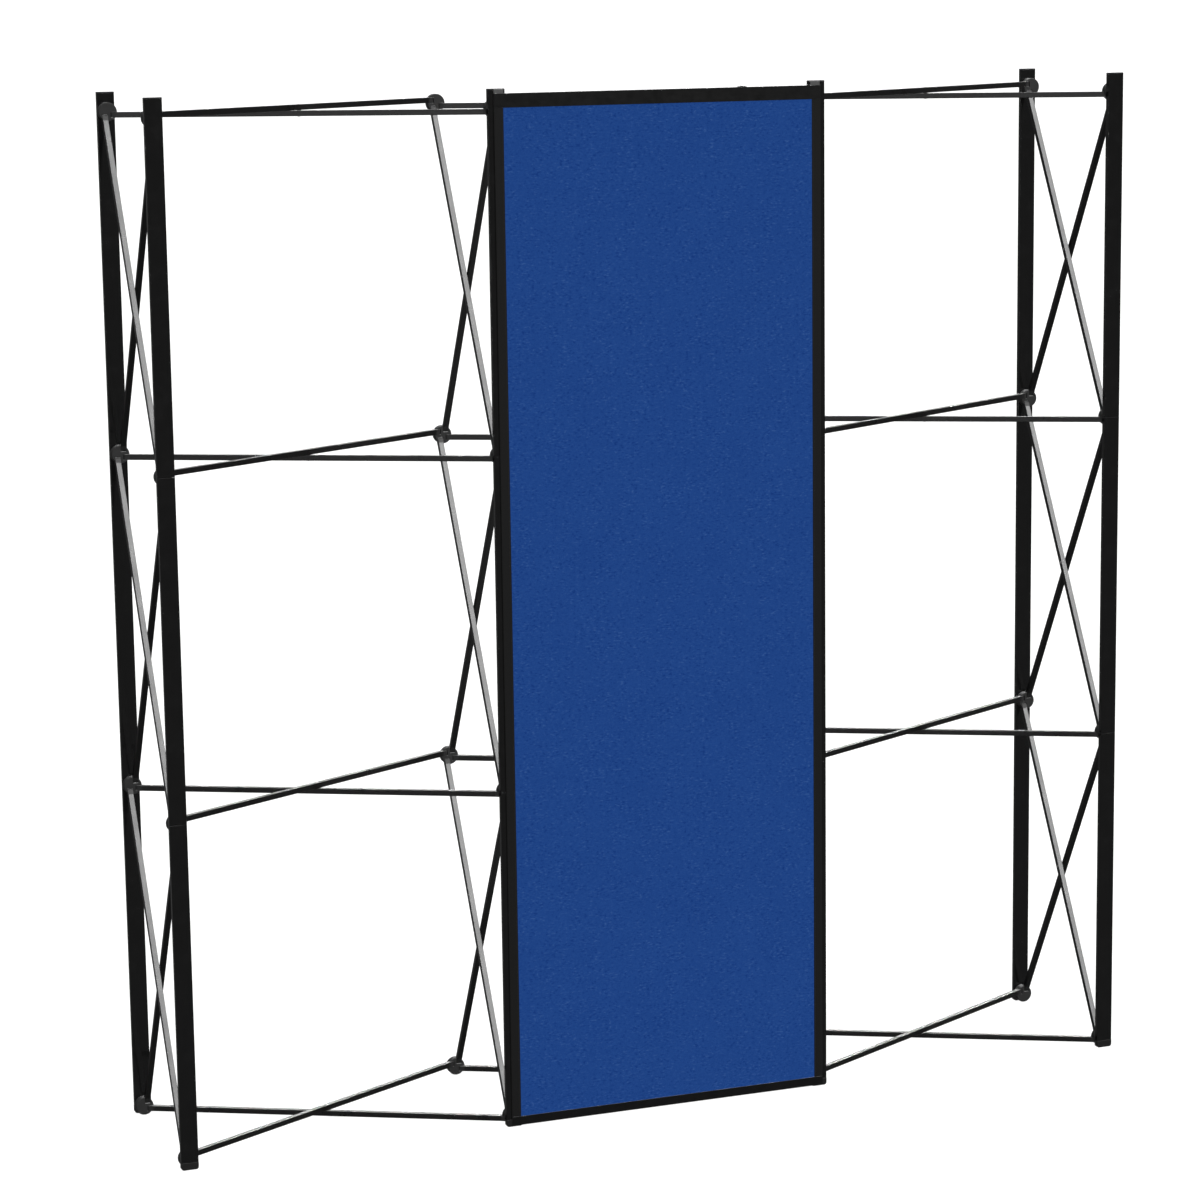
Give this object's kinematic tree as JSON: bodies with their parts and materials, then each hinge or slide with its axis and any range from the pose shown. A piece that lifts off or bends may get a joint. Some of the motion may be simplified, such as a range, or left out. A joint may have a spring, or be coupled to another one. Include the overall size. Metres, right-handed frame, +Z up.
{
  "type": "pop-up exhibition partition wall",
  "caption": "Straight pop-up exhibition wall: scissor frame of square tubes and disc hubs, flat black bars held by magnets, and one blue fabric panel.",
  "frame": {"origin": "centre of the wall's footprint, on the floor", "axes": "+Z up, +X across the wall to the right as seen from the panel side, -Y out of the panel's face"},
  "size_m": [2.245, 0.4364, 2.267],
  "materials": {
    "hub_plastic": "moulded satin",
    "strut_tube": "satin dark anodised",
    "bar_gloss": "gloss black",
    "bar_caps": "moulded satin",
    "pin_steel": "bright zinc plate",
    "magnet_steel": "nickel plate",
    "panel_cloth": "short looped pile",
    "panel_binding": "woven tape",
    "panel_backing": "smooth sheet",
    "panel_rail": "extruded satin",
    "magnet_rubber": "matt",
    "tab_steel": "satin grey"
  },
  "bodies": {
    "frame": {"front_hubs_1": "hub_plastic", "front_hubs_2": "hub_plastic", "front_hubs_3": "hub_plastic", "front_hubs_4": "hub_plastic", "back_hubs_1": "hub_plastic", "back_hubs_2": "hub_plastic", "back_hubs_3": "hub_plastic", "back_hubs_4": "hub_plastic", "flat_struts_level_1_bay_1": "strut_tube", "flat_struts_level_1_bay_2": "strut_tube", "flat_struts_level_1_bay_3": "strut_tube", "flat_struts_level_2_bay_1": "strut_tube", "flat_struts_level_2_bay_2": "strut_tube", "flat_struts_level_2_bay_3": "strut_tube", "flat_struts_level_3_bay_1": "strut_tube", "flat_struts_level_3_bay_2": "strut_tube", "flat_struts_level_3_bay_3": "strut_tube", "flat_struts_level_4_bay_1": "strut_tube", "flat_struts_level_4_bay_2": "strut_tube", "flat_struts_level_4_bay_3": "strut_tube", "upright_struts_column_1_row_1": "strut_tube", "upright_struts_column_1_row_2": "strut_tube", "upright_struts_column_1_row_3": "strut_tube", "upright_struts_column_2_row_1": "strut_tube", "upright_struts_column_2_row_2": "strut_tube", "upright_struts_column_2_row_3": "strut_tube", "upright_struts_column_3_row_1": "strut_tube", "upright_struts_column_3_row_2": "strut_tube", "upright_struts_column_3_row_3": "strut_tube", "upright_struts_column_4_row_1": "strut_tube", "upright_struts_column_4_row_2": "strut_tube", "upright_struts_column_4_row_3": "strut_tube", "strut_end_plugs": "hub_plastic", "hub_hinge_pins": "pin_steel", "crossing_rivets": "pin_steel", "crossing_washers": "hub_plastic", "hub_magnets": "magnet_steel"},
    "front_bar_1": {"front_bar_1": "bar_gloss", "front_bar_1_fittings": "bar_caps"},
    "front_bar_2": {"front_bar_2": "bar_gloss", "front_bar_2_fittings": "bar_caps"},
    "front_bar_3": {"front_bar_3": "bar_gloss", "front_bar_3_fittings": "bar_caps"},
    "front_bar_4": {"front_bar_4": "bar_gloss", "front_bar_4_fittings": "bar_caps"},
    "back_bar_1": {"back_bar_1": "bar_gloss", "back_bar_1_fittings": "bar_caps"},
    "back_bar_4": {"back_bar_4": "bar_gloss", "back_bar_4_fittings": "bar_caps"},
    "panel": {"panel_backing": "panel_backing", "panel_fabric": "panel_cloth", "panel_side_binding": "panel_binding", "panel_top_rail": "panel_rail", "panel_bottom_rail": "panel_rail", "panel_magnet_strips": "magnet_rubber", "panel_hanger_tabs": "tab_steel"}
  },
  "joints": [
    {"name": "panel_pull", "type": "slide", "parent": "frame", "child": "panel", "axis": [0, -1, 0], "range_m": [0, 0.3]},
    {"name": "front_bar_1_pull", "type": "slide", "parent": "frame", "child": "front_bar_1", "axis": [0, -1, 0], "range_m": [0, 0.15]},
    {"name": "front_bar_2_pull", "type": "slide", "parent": "frame", "child": "front_bar_2", "axis": [0, -1, 0], "range_m": [0, 0.15]},
    {"name": "front_bar_3_pull", "type": "slide", "parent": "frame", "child": "front_bar_3", "axis": [0, -1, 0], "range_m": [0, 0.15]},
    {"name": "front_bar_4_pull", "type": "slide", "parent": "frame", "child": "front_bar_4", "axis": [0, -1, 0], "range_m": [0, 0.15]},
    {"name": "back_bar_1_pull", "type": "slide", "parent": "frame", "child": "back_bar_1", "axis": [0, 1, 0], "range_m": [0, 0.15]},
    {"name": "back_bar_4_pull", "type": "slide", "parent": "frame", "child": "back_bar_4", "axis": [0, 1, 0], "range_m": [0, 0.15]}
  ],
  "couplings": [
    {"joint": "front_bar_2_pull", "follows": "panel_pull", "ratio": 0.5},
    {"joint": "front_bar_3_pull", "follows": "panel_pull", "ratio": 0.5}
  ]
}
